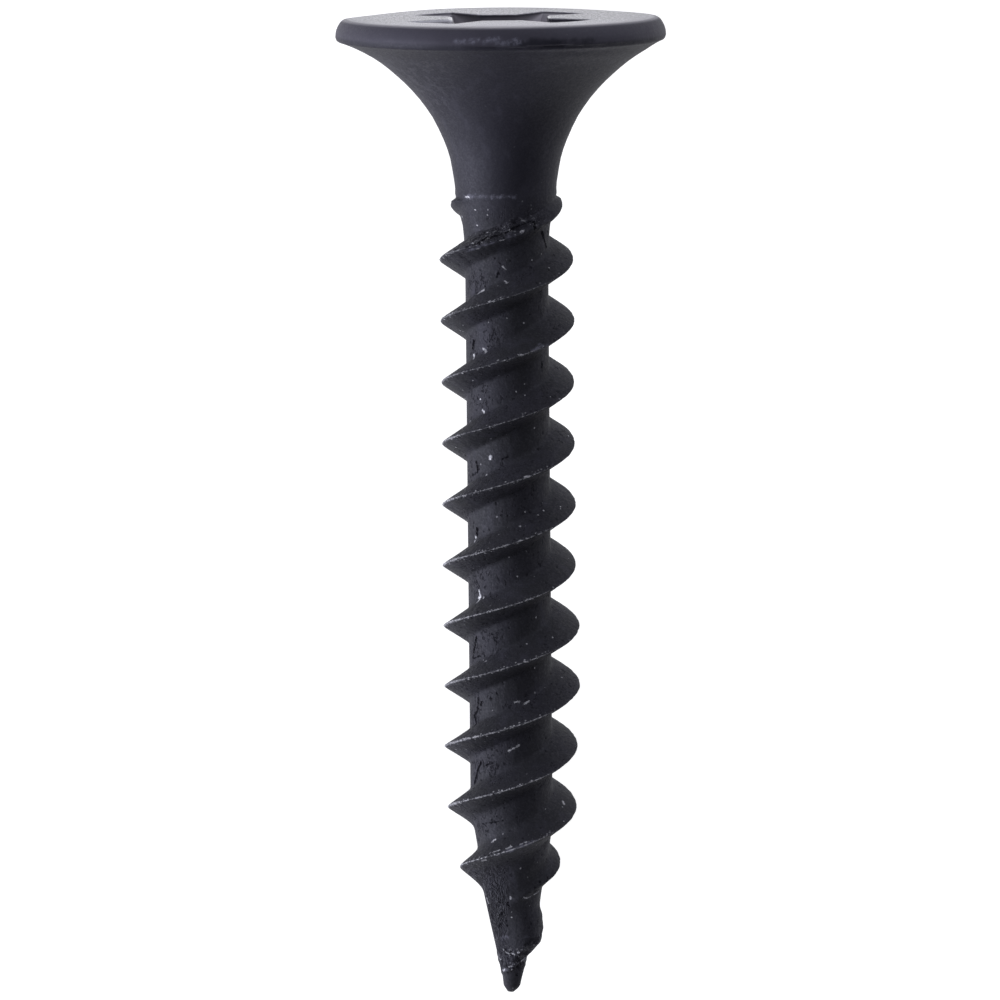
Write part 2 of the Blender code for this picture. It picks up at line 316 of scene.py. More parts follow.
SCUFFS = {
    "crest 3": (534, 350, 547, 347, 2.2),
    "collar": (464, 197.4, 482, 196, 0.15),
    "collar right": (482, 196, 514, 197.2, 0.05),
    "crest 1 left": (468, 251, 486, 244.8, 0.5),
    "crest 1 middle": (486, 244.8, 508, 238.2, 0.6),
    "crest 1 right": (508, 237.5, 520, 234, 0.8),
    "crest 11 under": (500, 855, 511, 851, 0.8),
    "crest 11 middle": (511, 851, 520, 848, 0.9),
    "crest 11 right": (520, 848, 537, 841, 0.5),
    "pinch left": (503, 971, 512, 965, 0.9),
    "pinch right": (512, 965, 525.5, 959, 0.7),
    "fin": (525, 937, 535, 937, 0.6),
    "cone": (502, 938, 507, 937, 0.6),
}
CRACKS = {
    "torn left": (465.9, 247.9, 478, 243.2, 0.9),
    "torn left middle": (478, 243.2, 487.3, 237.5, 1.3),
    "torn middle": (487.3, 238.5, 495.5, 236, 1.5),
    "torn right middle": (495.5, 236, 509.7, 231.1, 1.1),
    "torn right": (509.7, 231.1, 516, 227.3, 1.6),
    "torn right end": (516, 227.3, 531, 221, 0.6),
    "torn notch": (533.5, 222.5, 535, 229, 1.0),
    "root 1": (541.8, 233, 543.5, 238, 1.3),
    "root 1 lower": (543.5, 238, 546, 247, 0.8),
    "root 1 side": (547.5, 232, 548, 236, 0.7),
    "root 1 middle": (496.5, 277, 499, 272, 0.6),
    "root 2": (542, 362, 542, 371, 0.5),
    "root 2 left": (474, 341, 473, 348, 1.2),
    "root 4": (476.5, 462, 478.5, 471, 0.7),
    "root 4 lower": (470, 477, 478, 472, 0.6),
    "root 4 middle": (503, 459, 508, 457, 0.5),
    "root 5": (477.5, 529, 477, 535, 1.2),
    "root 7": (476.5, 638, 473, 657, 0.9),
    "root 7 lower": (474, 658, 480, 656, 0.5),
    "root 7 upper": (487, 622, 485, 632, 0.5),
    "root 7 middle": (492, 634, 495, 640, 0.4),
    "root 8": (478.7, 699, 477.7, 711, 1.0),
    "root 8 middle": (477.7, 711, 474.5, 717, 1.3),
    "root 8 lower": (475, 717, 475.5, 725, 1.5),
    "root 8 right": (482, 702, 481.5, 705, 0.8),
    "root 8 dots": (490, 697, 491.3, 699, 0.4),
    "root 8 far dots": (497, 693.5, 498.5, 698, 0.4),
    "root 9": (481, 762, 476.5, 775, 0.7),
    "root 9 lower": (476.5, 775, 475, 783, 1.5),
    "root 9 cross": (484, 766, 496, 761.5, 0.35),
    "root 10": (483, 824, 503, 820.5, 0.35),
    "cone": (508.5, 903, 509.5, 905, 0.7),
    "cone left": (490.5, 912, 493, 918, 0.6),
    "cone upper": (489.5, 893, 489.8, 897, 0.5),
    "cone edge": (492.5, 885, 492, 887, 0.5),
    "cone lower": (500, 915, 503, 913, 0.5),
    "cone foot": (498, 927, 501, 924, 0.6),
    "cone end": (506.5, 921, 507.5, 926, 0.4),
    "lobe 11": (540, 882, 541, 884, 0.5),
    "short ridge": (535, 891.5, 539, 889.5, 0.5),
    "pinch": (517, 962, 519.5, 959.5, 0.6),
    "facet": (516.5, 974.5, 516.5, 975.5, 0.8),
}

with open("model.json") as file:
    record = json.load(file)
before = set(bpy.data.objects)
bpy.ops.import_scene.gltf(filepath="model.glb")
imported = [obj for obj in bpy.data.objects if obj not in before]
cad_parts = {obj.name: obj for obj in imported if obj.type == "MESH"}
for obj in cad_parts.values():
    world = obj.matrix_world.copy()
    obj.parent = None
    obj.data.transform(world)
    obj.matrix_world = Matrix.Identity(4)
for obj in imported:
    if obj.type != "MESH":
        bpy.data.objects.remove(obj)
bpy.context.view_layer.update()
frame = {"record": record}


# The screw's place


def resting_place():
    """Where the screw's own frame lies, from the record's mount on the face of the head."""
    mount = frame["record"]["mounts"][0]
    axis = Vector(mount["axis"])
    lean = Matrix.Rotation(math.atan2(axis.z, axis.y) - math.pi / 2, 3, "X")
    centre = Vector(mount["pos_m"]) - lean @ Vector((0.0, -MOUNT_OFF_AXIS * MM, 0.0))
    return Matrix.LocRotScale(centre, lean, None)


REST = resting_place()


# Noise and blends


def noise(points, size, seed):
    """Smooth seeded noise from about -1 to 1, with bumps about one size across."""
    table = np.random.RandomState(seed)
    order = table.permutation(256)
    values = table.uniform(-1.0, 1.0, 256)
    cells = np.asarray(points, float) / size
    base = np.floor(cells).astype(int)
    part = cells - base
    ease = part * part * (3 - 2 * part)
    total = np.zeros(len(cells))
    for corner in itertools.product((0, 1), repeat=3):
        index = (base + corner) & 255
        spot = order[(order[(order[index[:, 0]] + index[:, 1]) & 255] + index[:, 2]) & 255]
        total += values[spot] * np.prod(np.where(corner, ease, 1 - ease), axis=1)
    return total * 1.6


def rough(points, size, seed, octaves=3):
    """Noise with finer noise on it."""
    return sum(noise(points, size / 2**k, seed + k) / 2**k for k in range(octaves)) / 1.5


def step(value, low, high):
    """0 below low, 1 above high, and smooth between."""
    part = np.clip((value - low) / (high - low), 0.0, 1.0)
    return part * part * (3 - 2 * part)


def bump(value, middle, width):
    """1 in the middle, fading to 0 at width on both sides."""
    return 1 - step(np.abs(value - middle), 0.0, width)


def soft_max(a, b, blend):
    """The larger of two, with a fillet where they meet."""
    near = np.maximum(blend - np.abs(a - b), 0.0) / blend
    return np.maximum(a, b) + near * near * blend / 4


def cubic(ends, count):
    """Points on a Bezier curve."""
    p = np.array(ends, float)
    t = np.linspace(0.0, 1.0, count)[:, None]
    return (1 - t)**3 * p[0] + 3 * (1 - t)**2 * t * p[1] + 3 * (1 - t) * t * t * p[2] + t**3 * p[3]


def around(theta, radius, z):
    """Points at these angles, radii and heights."""
    return np.stack((radius * np.cos(theta), radius * np.sin(theta), z), axis=1)


def turn_from(theta, middle):
    """How far an angle lies from another, from -pi to pi."""
    return (theta - middle + math.pi) % TURN - math.pi


# Shank, thread and point


def core_outline():
    """The bare shank and point as rising heights with their radii."""
    third = (POINT_RISE - POINT_END_RISE) / 3
    cone = cubic((
        (POINT_RISE, ROOT_RADIUS),
        (POINT_RISE - third, ROOT_RADIUS - POINT_TOP_SLOPE * third),
        (POINT_END_RISE + third, POINT_END_RADIUS + POINT_END_SLOPE * third),
        (POINT_END_RISE, POINT_END_RADIUS),
    ), 24)
    end = cubic((
        (POINT_END_RISE, POINT_END_RADIUS),
        (POINT_END_RISE * 0.45, POINT_END_RADIUS * 0.77),
        (0.0, POINT_END_RADIUS * 0.14),
        (0.0, 0.0),
    ), 24)
    rises = np.concatenate((cone, end[1:]))[::-1]
    shank = np.array([(LENGTH - depth, radius) for depth, radius in CORE])[::-1]
    outline = np.concatenate((rises, shank[1:]))
    return outline[:, 0] - LENGTH, outline[:, 1]


CORE_HEIGHTS, CORE_RADII = core_outline()


def over_crest(theta, z, start):
    """Height over the nearest crest of the ridge that starts at this angle."""
    over = z + FIRST_CREST - LEAD * (theta - start) / TURN
    return over - LEAD * np.round(over / LEAD)


def crest_drop(crest_z):
    """How much lower than the even helix a crest lies."""
    return (RUNOUT_DROP * step(crest_z, -RUNOUT_DEPTH, -FIRST_CREST)
            + TIP_DROP * step(-crest_z, *TIP_SPAN))


def ridge_radius(theta, z, start, point_radii, seed):
    """A ridge's own radius at each place, how near its crest and how torn each place is."""
    over = over_crest(theta, z, start)
    crest_z = z - over
    stations = [rise - LENGTH for rise, radius in point_radii] + [-RUNOUT_DEPTH, -FIRST_CREST]
    radii = [radius for rise, radius in point_radii] + [CREST_RADIUS, RUNOUT_RADIUS]
    crest = np.interp(crest_z, stations, radii)
    to_right = np.clip(np.cos(theta), 0.0, 1.0)
    crest = crest + SWELL * bump(crest_z, -SWELL_DEPTH, SWELL_SPAN) * to_right**2
    core = np.interp(crest_z, CORE_HEIGHTS, CORE_RADII)
    lost = np.clip(1 - (crest - core) / (CREST_RADIUS - ROOT_RADIUS), 0.0, 1.0)
    flat = (CREST_FLAT + lost * (BLUNT_FLAT - CREST_FLAT)) / 2
    along = around(theta, 1.7, crest_z)
    wear = (WAVES[0] * noise(along, WAVES[1], seed + 2)
            - NICKS[0] * np.abs(noise(along, NICKS[1], seed + 3)))
    torn = bump(crest_z, -TORN_DEPTH, TORN_SPAN) * np.clip(-np.sin(theta), 0.0, 1.0)
    chips = CHIPS[0] * torn * np.abs(rough(along, CHIPS[1], seed + 4, 2))
    height = over + crest_drop(crest_z)
    aside = np.abs(height)
    torn_band = torn * step(height, 0.01, 0.06) * (1 - step(height, *TORN_BAND))
    near_crest = 1 - step(aside, 0.05, 0.40)
    fall = np.sqrt(aside**2 + flat**2) - flat
    flank = FLANK_ANGLE + TIP_FLANK * step(-crest_z, *TIP_SPAN)
    radius = crest + (wear - chips) * near_crest - fall / np.tan(flank)
    where = np.stack((theta, theta * 0, z), axis=1)
    lumps = TORN_LUMPS[0] * rough(where, TORN_LUMPS[1], seed + 6, 2)
    radius = radius - torn_band * (TORN_LOSS + lumps)
    return radius, aside + 0.1 * step(lost, 0.1, 0.6), torn_band


def fin_radius(theta, z, core):
    """The blunt fin that ends the long ridge."""
    rises, heights = zip(*FIN)
    side = turn_from(theta, 0.0)
    share = step(side, FIN_FRONT, FIN_FULL[0]) * (1 - step(side, FIN_FULL[1], FIN_BACK))
    return core + np.interp(z + LENGTH, rises, heights) * share


def pinched(theta, z, radius):
    """How much of the radius is lost under the ragged edge near the tip."""
    ragged = PINCH_RAGGED[0] * noise(around(theta, 1.0, 0 * z), PINCH_RAGGED[1], 51)
    under = step(PINCH_Z + PINCH_SLOPE * radius * np.cos(theta) + ragged - z, 0.0, 0.05)
    front = np.clip(-np.sin(theta), 0.0, 1.0)**2
    return under * (PINCH_SIDE + PINCH_FRONT * front) * step(z, -LENGTH - 0.1, -LENGTH + 0.5)


def thread_radius(theta, z):
    """The skin's radius along the shank, and how near a crest and how torn each place is."""
    core = np.interp(z, CORE_HEIGHTS, CORE_RADII)
    gate = 1 - step(z, -LEDGE, -LEDGE_TOP)
    radius = core
    crest = np.full(len(z), FAR_OFF)
    torn = np.zeros(len(z))
    for start, point_radii, seed in ((0.0, LONG_RIDGE, 11), (math.pi, SHORT_RIDGE, 21)):
        own, near, torn_band = ridge_radius(theta, z, start, point_radii, seed)
        torn = np.maximum(torn, torn_band)
        own = core + (own - core) * gate - FOOT_FILLET * (1 - gate)
        crest = np.minimum(crest, near + 0.2 * (1 - step(own, core, core + 0.15)))
        radius = soft_max(radius, own, FOOT_FILLET + TIP_FILLET * step(-z, *TIP_SPAN))
    radius = soft_max(radius, fin_radius(theta, z, core), 0.03)
    radius = radius - pinched(theta, z, radius)
    low, full_low, full_high, high = TORN_TIP_RISES
    rise = z + LENGTH
    higher = TORN_TIP_RIGHT * step(np.cos(theta), 0.2, 0.8)
    torn_tip = step(rise, low, full_low) * (1 - step(rise - higher, full_high, high))
    lumps = TORN_TIP_LUMPS[0] * rough(around(theta, 1.0, z), TORN_TIP_LUMPS[1], 53, 2)
    radius = radius + torn_tip * lumps
    return radius, np.minimum(crest, FAR_OFF), np.maximum(torn, torn_tip)


# The mesh


class Skin:
    """Points and faces, gathered ring by ring."""

    def __init__(self):
        self.points = []
        self.faces = []
        self.crest = []
        self.face_share = []
        self.torn = []

    def ring(self, points, face_share=0.0, crest=FAR_OFF, torn=0.0):
        """Add points and return their numbers."""
        first = len(self.points)
        count = len(points)
        self.points.extend(points)
        self.crest.extend(np.broadcast_to(crest, count))
        self.face_share.extend(np.broadcast_to(face_share, count))
        self.torn.extend(np.broadcast_to(torn, count))
        return np.arange(first, first + count)

    def join(self, low, high):
        """A band of faces between two rings with as many points."""
        for a, b, c, d in zip(low, np.roll(low, -1), np.roll(high, -1), high):
            self.face(a, b, c, d)

    def grow(self, low, points, face_share):
        """A new ring, joined to the one before it."""
        high = self.ring(points, face_share)
        self.join(low, high)
        return high

    def join_double(self, low, high):
        """A band up to a ring with twice as many points."""
        count = len(low)
        for k in range(count):
            after = (k + 1) % count
            left, middle, right = high[2 * k], high[2 * k + 1], high[(2 * k + 2) % len(high)]
            self.faces.append((low[k], middle, left))
            self.faces.append((low[k], low[after], middle))
            self.faces.append((low[after], right, middle))

    def face(self, *corners):
        """A face without the corners that have run together."""
        kept = [c for k, c in enumerate(corners) if c != corners[k - 1]]
        if len(set(kept)) == len(kept) > 2:
            self.faces.append(tuple(kept))


def level_ring(skin, theta, z):
    """A level ring on the shank."""
    heights = np.full(len(theta), z)
    radius, crest, torn = thread_radius(theta, heights)
    return skin.ring(around(theta, radius, heights), 0.0, crest, torn)


def shank(skin):
    """Point, thread and ledge. Returns the ring at the ledge's top."""
    theta = np.arange(COLUMNS) * TURN / COLUMNS
    tip = skin.ring(np.array([(0.0, 0.0, -LENGTH)]))
    rises = POINT_RINGS_RISE * np.linspace(0.0, 1.0, POINT_RINGS)[1:]**1.35
    rings = [level_ring(skin, theta, rise - LENGTH) for rise in rises]
    for a, b in zip(np.roll(rings[0], -1), rings[0]):
        skin.faces.append((tip[0], b, a))
    for low, high in zip(rings, rings[1:]):
        skin.join(low, high)
    bottom, low_z = rings[-1], POINT_RINGS_RISE - LENGTH
    ledge_rings = [
        level_ring(skin, theta, -depth) for depth in np.linspace(LEDGE, LEDGE_TOP - 0.02, 6)
    ]
    for low, high in zip(ledge_rings, ledge_rings[1:]):
        skin.join(low, high)
    top, high_z = ledge_rings[0], -LEDGE

    half = [0.0, *CREST_ROWS, LEAD / 4]
    pitch = [*half, *(LEAD / 2 - h for h in reversed(CREST_ROWS))]
    rows = np.array([*pitch, *(LEAD / 2 + h for h in pitch)])
    first = math.floor((low_z + FIRST_CREST - LEAD) / LEAD * COLUMNS) - 3
    last = math.ceil((high_z + FIRST_CREST + RUNOUT_DROP) / LEAD * COLUMNS) + 3
    columns = np.arange(first, last + 1)
    z = rows[None, :] + LEAD * columns[:, None] / COLUMNS - FIRST_CREST
    over = rows - LEAD / 2 * np.round(rows / (LEAD / 2))
    z = z - crest_drop(z - over) * (1 - np.abs(over) / (LEAD / 4))
    angle = np.broadcast_to(columns[:, None] * TURN / COLUMNS, z.shape)
    snap = 0.012
    inside = (z > low_z + snap) & (z < high_z - snap)
    numbers = np.where(z <= low_z + snap, bottom[columns % COLUMNS][:, None],
                       top[columns % COLUMNS][:, None])
    radius, crest, torn = thread_radius(angle[inside], z[inside])
    numbers[inside] = skin.ring(around(angle[inside], radius, z[inside]), 0.0, crest, torn)
    across = len(rows)
    for c in range(len(columns) - 1):
        for i in range(across - 1):
            skin.face(numbers[c, i], numbers[c + 1, i], numbers[c + 1, i + 1], numbers[c, i + 1])
        if c + 1 + COLUMNS < len(columns):
            skin.face(numbers[c, -1], numbers[c + 1, -1],
                      numbers[c + 1 + COLUMNS, 0], numbers[c + COLUMNS, 0])
    return ledge_rings[-1]


def cross_outline(count):
    """The recess's edge, seen from above, as evenly spaced points from +X round."""
    half = WING_WIDTH / 2
    along = CORE_WIDTH / math.sqrt(2) - half
    reach = math.asin(WING_END_WIDTH / 2 / RECESS_RADIUS)
    end = [(RECESS_RADIUS * math.cos(a), RECESS_RADIUS * math.sin(a))
           for a in np.linspace(-reach, reach, 12)]
    wing = np.array([(along, -half), *end, (along, half)])
    outline = []
    for k in range(4):
        turn = RECESS_TURN + k * math.pi / 2
        spin = np.array(((math.cos(turn), math.sin(turn)), (-math.sin(turn), math.cos(turn))))
        outline.append(wing @ spin)
    outline = np.concatenate(outline)
    middle = (outline[-1] + outline[0]) / 2
    closed = np.concatenate(([middle], outline, [middle]))
    lengths = np.concatenate(([0.0], np.cumsum(np.linalg.norm(np.diff(closed, axis=0), axis=1))))
    fine = 16 * count
    spots = np.arange(fine) * lengths[-1] / fine
    dense = np.stack([np.interp(spots, lengths, closed[:, k]) for k in (0, 1)], axis=1)
    width = RECESS_ROUND / lengths[-1] * fine
    reach = np.arange(-int(2 * width), int(2 * width) + 1)
    weights = np.exp(-0.5 * (reach / (0.5 * width))**2)
    weights /= weights.sum()
    smooth = sum(w * np.roll(dense, -r, axis=0) for r, w in zip(reach, weights))
    return smooth[::16]


def head(skin, neck_ring):
    """Trumpet, rim, face and recess."""
    coarse = np.arange(COLUMNS) * TURN / COLUMNS
    fine = np.arange(HEAD_COLUMNS) * TURN / HEAD_COLUMNS
    neck, first_radius = NECK[0]
    middle_depth = (LEDGE_TOP + neck) / 2
    low = skin.ring(around(coarse, SHANK_RADIUS, np.full(COLUMNS, -middle_depth)))
    skin.join(neck_ring, low)
    high = skin.ring(around(fine, first_radius, np.full(HEAD_COLUMNS, -neck)))
    skin.join_double(low, high)
    circle = around(fine, 4, 0 * fine)
    front = bump(turn_from(fine, GROOVE_MIDDLE), 0.0, GROOVE_SPAN)
    edge = GROOVE_DEPTH + 0.030 * rough(circle, 0.45, 31) - 0.035 * front
    cut = GROOVE_CUT * (0.08 + 0.92 * front) * (0.75 + 0.25 * noise(circle, 0.9, 35))
    dents = 0.008 * rough(circle, 0.8, 37)
    dips = sum(deep * bump(turn_from(fine, middle), 0.0, wide) for middle, wide, deep in FACE_DIPS)
    for depth, radius in (*NECK[1:], *RIM):
        inward = cut * step(depth, edge, edge + 0.035) * (1 - step(depth, 0.60, 0.78))
        lip = dents * bump(depth, 0.3, 0.4)
        ring = around(fine, radius - inward + lip, -depth - dips * (1 - step(depth, 0.0, 0.4)))
        # The face's painted reflection reaches over the rim's rounded top; the rim's upper half
        # takes the rim's tone
        face_share = 0.42 * (1 - step(depth, 0.0, 0.07)) + 0.05 * (1 - step(depth, 0.34, 0.5))
        high = skin.grow(high, ring, face_share)

    outline = cross_outline(HEAD_COLUMNS)
    rim = np.stack((np.cos(fine), np.sin(fine)), axis=1) * RIM[-1][1]
    reach = np.linalg.norm(outline, axis=1)
    aim = outline / reach[:, None]
    side = turn_from(np.arctan2(outline[:, 1], outline[:, 0]), math.pi)
    left = (step(side, -0.5, 0.0) * (1 - step(side, RECESS_TURN - 0.06, RECESS_TURN))
            * step(reach, 0.9, 1.3))
    edge_out = outline + aim * (0.09 + 1.4 * ROLLED * left)[:, None]
    # The face's painted reflection grows weaker towards the rim, most at the front
    darker = 0.5 * (0.3 + 0.7 * np.clip(-np.sin(fine), 0.0, 1.0))
    for share in LAND_RINGS:
        flat = rim + (edge_out - rim) * share
        points = np.column_stack((flat, -dips * (1 - step(share, 0.0, 0.9))))
        face_share = 1 - darker * (1 - step(share, 0.0, 0.42))
        high = skin.grow(high, points, face_share)

    steep, shallow = math.tan(RECESS_TAPER), math.tan(RECESS_FLOOR)
    floor_depth = (RECESS_DEPTH - RECESS_RADIUS * shallow) / (1 - steep * shallow)
    # The rounded edge carries a painted highlight, and the wall under the rolled land at the left
    # gets painted light
    for out, depth, share in EDGE_RINGS:
        roll = ROLLED * left * depth / EDGE_RINGS[-1][1]
        flat = aim * (reach + out * (1 + 20 * ROLLED * left))[:, None]
        points = np.column_stack((flat, -depth - roll))
        high = skin.grow(high, points, share or 0.75 * left)
    top = 0.06 + ROLLED * left
    corner = np.clip((RECESS_RADIUS - reach) / steep, top + 0.08, floor_depth - 0.12)
    wall = [top + (corner - top) * t for t in WALL_RINGS]
    cone = [corner + (floor_depth - corner) * t for t in CONE_RINGS]
    for depth in wall + cone:
        radius = np.minimum(reach, RECESS_RADIUS - depth * steep)
        high = skin.grow(high, np.column_stack((aim * radius[:, None], -depth)), IN_RECESS)
    last_radius = np.minimum(reach, RECESS_RADIUS - floor_depth * steep)
    for share in FLOOR_RINGS:
        radius = last_radius * share
        depth = RECESS_DEPTH - radius * shallow
        high = skin.grow(high, np.column_stack((aim * radius[:, None], -depth)), IN_RECESS)
    bottom = skin.ring(np.array([(0.0, 0.0, -RECESS_DEPTH)]), IN_RECESS)
    for a, b in zip(high, np.roll(high, -1)):
        skin.faces.append((a, b, bottom[0]))


def off_centre(points):
    """Move the head a little to the left, as the real one was struck, and bend the tip."""
    depths, shifts = zip(*OFF_CENTRE)
    points[:, 0] -= np.interp(-points[:, 2], depths, shifts)
    for stretch, bend in TIP_BENDS:
        points[:, 0] -= bend * step(-points[:, 2], LENGTH - stretch, LENGTH)


def photo_view():
    """The camera's place, right, up and view directions in the screw's frame, in millimetres."""
    ahead = Vector((0.0, math.cos(CAMERA_RISE), -math.sin(CAMERA_RISE)))
    above = Vector((0.0, math.sin(CAMERA_RISE), math.cos(CAMERA_RISE)))
    right = Vector((1.0, 0.0, 0.0))
    place = Vector((0.0, 0.0, -LENGTH / 2)) - CAMERA_DISTANCE * ahead
    level = math.cos(CAMERA_ROLL) * right + math.sin(CAMERA_ROLL) * above
    upward = -math.sin(CAMERA_ROLL) * right + math.cos(CAMERA_ROLL) * above
    return place, level, upward, ahead


def on_skin(tree, pixel_x, pixel_y):
    """The place on the front that a pixel of the photograph shows, in the screw's frame."""
    place, right, upward, ahead = photo_view()
    aim = (ahead + right * (pixel_x - MIDDLE_PIXEL[0]) / FOCAL_PIXELS
           - upward * (pixel_y - MIDDLE_PIXEL[1]) / FOCAL_PIXELS)
    spot = tree.ray_cast(place, aim)[0]
    return spot or tree.find_nearest(place + aim.normalized() * CAMERA_DISTANCE)[0]


def placed(tree, marks):
    """The marks as pairs of places with their half widths, in millimetres."""
    pieces = []
    for x0, y0, *other_end, wide in marks.values():
        x1, y1 = other_end or (x0, y0)
        count = max(1, round(math.hypot(x1 - x0, y1 - y0) / MARK_PIECE))
        shares = [k / count for k in range(count + 1)]
        spots = [on_skin(tree, x0 + (x1 - x0) * t, y0 + (y1 - y0) * t) for t in shares]
        pieces += [(start, end, wide * PIXEL) for start, end in zip(spots, spots[1:])]
    return pieces


def soft_share(points, marks, seed):
    """How much of a soft mark each point has, from 0 to 1."""
    wisps = 0.045 * rough(points, 0.13, seed, 2)
    share = np.zeros(len(points))
    for start, end, wide in marks:
        start, along = np.array(start), np.array(end - start)
        part = np.clip((points - start) @ along / (along @ along), 0.0, 1.0)
        gap = np.linalg.norm(points - start - part[:, None] * along, axis=1) - wide
        share = np.maximum(share, 1 - step(gap + wisps, -0.05, 0.07))
    return share


def screw_mesh():
    """The screw's mesh where it lies, and the marks on its front."""
    skin = Skin()
    head(skin, shank(skin))
    points = np.array(skin.points, float)
    off_centre(points)
    faces = [tuple(int(i) for i in face) for face in skin.faces]
    tree = BVHTree.FromPolygons(points.tolist(), faces)
    mesh = bpy.data.meshes.new("screw_skin")
    mesh.from_pydata((points * MM).tolist(), [], faces)
    mesh.transform(REST)
    depth = -points[:, 2]
    thread_share = step(depth, 3.6, 6.0)
    left = step(-points[:, 0], 0.05, 0.5)
    lower_left = left * (step(depth, 9.0, 15.0) + bump(depth, 22.6, 1.2))
    pitted = thread_share * (0.30 + 0.35 * lower_left)
    rugged = step(-points[:, 0], 0.0, 0.4) * bump(depth, 22.7, 1.7)
    # Painted shade under the lip and the collar
    painted_shade = soft_share(points, placed(tree, PAINTED_SHADE_MARKS), 61)
    smeared = soft_share(points, placed(tree, SMEARS), 63)
    shares = {"painted_shade": painted_shade, "smeared": smeared, "crest": skin.crest,
              "head_face": skin.face_share, "rugged": rugged, "thread": thread_share,
              "torn": skin.torn, "pitted": pitted}
    for name, values in shares.items():
        layer = mesh.attributes.new(name, "FLOAT", "POINT")
        layer.data.foreach_set("value", np.array(values, np.float32))
    shape = bmesh.new()
    shape.from_mesh(mesh)
    bmesh.ops.recalc_face_normals(shape, faces=shape.faces)
    shape.to_mesh(mesh)
    shape.free()
    mesh.shade_smooth()
    mesh.set_sharp_from_angle(angle=SHARP_ANGLE)
    return mesh, [placed(tree, marks) for marks in (BARE_MARKS, SCUFFS, CRACKS)]


# Materials


class Nodes:
    """Short ways to add and join shader nodes."""

    def __init__(self, data):
        data.use_nodes = True
        self.tree = data.node_tree
        self.link = self.tree.links.new

    def add(self, kind, values=None, **settings):
        node = self.tree.nodes.new("ShaderNode" + kind)
        for name, value in settings.items():
            setattr(node, name, value)
        for key, value in (values or {}).items():
            if isinstance(value, bpy.types.NodeSocket):
                self.link(value, node.inputs[key])
            else:
                node.inputs[key].default_value = value
        return node

    def math(self, operation, a, b=0.0):
        return self.add("Math", {0: a, 1: b}, operation=operation).outputs[0]

    def fold(self, operation, terms):
        return functools.reduce(lambda total, term: self.math(operation, total, term), terms)

    def times(self, *factors):
        return self.fold("MULTIPLY", factors)

    def plus(self, *terms):
        return self.fold("ADD", terms)

    def least(self, *terms):
        return self.fold("MINIMUM", terms)

    def most(self, *terms):
        return self.fold("MAXIMUM", terms)

    def fade(self, value, low, high, to_low=0.0, to_high=1.0):
        """Smooth from to_low, at low, to to_high, at high."""
        return self.add("MapRange", {"Value": value, "From Min": low, "From Max": high,
                                     "To Min": to_low, "To Max": to_high},
                        interpolation_type="SMOOTHSTEP").outputs[0]

    def mix(self, share, a, b):
        node = self.add("Mix", {0: share}, data_type="RGBA")
        for socket, colour in ((node.inputs[6], a), (node.inputs[7], b)):
            if isinstance(colour, bpy.types.NodeSocket):
                self.link(colour, socket)
            else:
                socket.default_value = (*colour, 1.0)
        return node.outputs[2]

    def scaled(self, place, scale):
        """A place stretched differently along each axis."""
        return self.add("Mapping", {"Vector": place, "Scale": scale}).outputs[0]

    def noise(self, place, size, detail=2.0, roughness=0.5, distortion=0.0):
        """Noise from 0 to 1 with bumps about one size across."""
        return self.add("TexNoise", {"Vector": place, "Scale": 1 / size, "Detail": detail,
                                     "Roughness": roughness,
                                     "Distortion": distortion}).outputs[0]

    def vector(self, operation, a, b):
        """Vector arithmetic. Dot products and distances come out as numbers."""
        node = self.add("VectorMath", {0: a, 1: b}, operation=operation)
        return node.outputs["Value" if operation in ("DOT_PRODUCT", "DISTANCE") else "Vector"]

    def gap_to(self, place, marks):
        """How far a place is from the nearest mark's edge. Marks as wide are taken together."""
        gaps = []
        for width in sorted({wide for start, end, wide in marks}):
            middles = [self.distance_to(place, start, end, width)
                       for start, end, wide in marks if wide == width]
            gaps.append(self.plus(self.least(*middles), -width))
        return self.least(*gaps)

    def distance_to(self, place, start, end, width):
        """How far a place is from a mark's middle line."""
        along = end - start
        if along.length < width:
            return self.vector("DISTANCE", place, start)
        from_start = self.vector("SUBTRACT", place, start)
        share = self.vector("DOT_PRODUCT", from_start, along / along.length_squared)
        share = self.add("Clamp", {"Value": share}).outputs[0]
        spot = self.add("VectorMath", {0: along, "Scale": share}, operation="SCALE")
        return self.vector("DISTANCE", from_start, spot.outputs["Vector"])

    def cells(self, place, size):
        """Distance to the nearest of scattered points, in cell sizes, and a random number."""
        node = self.add("TexVoronoi", {"Vector": place, "Scale": 1 / size, "Randomness": 1.0})
        pick = self.add("SeparateColor", {0: node.outputs["Color"]}).outputs[0]
        return node.outputs["Distance"], pick


def screw_place(nodes):
    """The place on the screw in its own frame, in millimetres."""
    where = nodes.add("TexCoord").outputs["Object"]
    return nodes.add("Mapping", {"Vector": where, "Location": REST.translation,
                                 "Rotation": REST.to_euler(), "Scale": (MM, MM, MM)},
                     vector_type="TEXTURE").outputs[0]


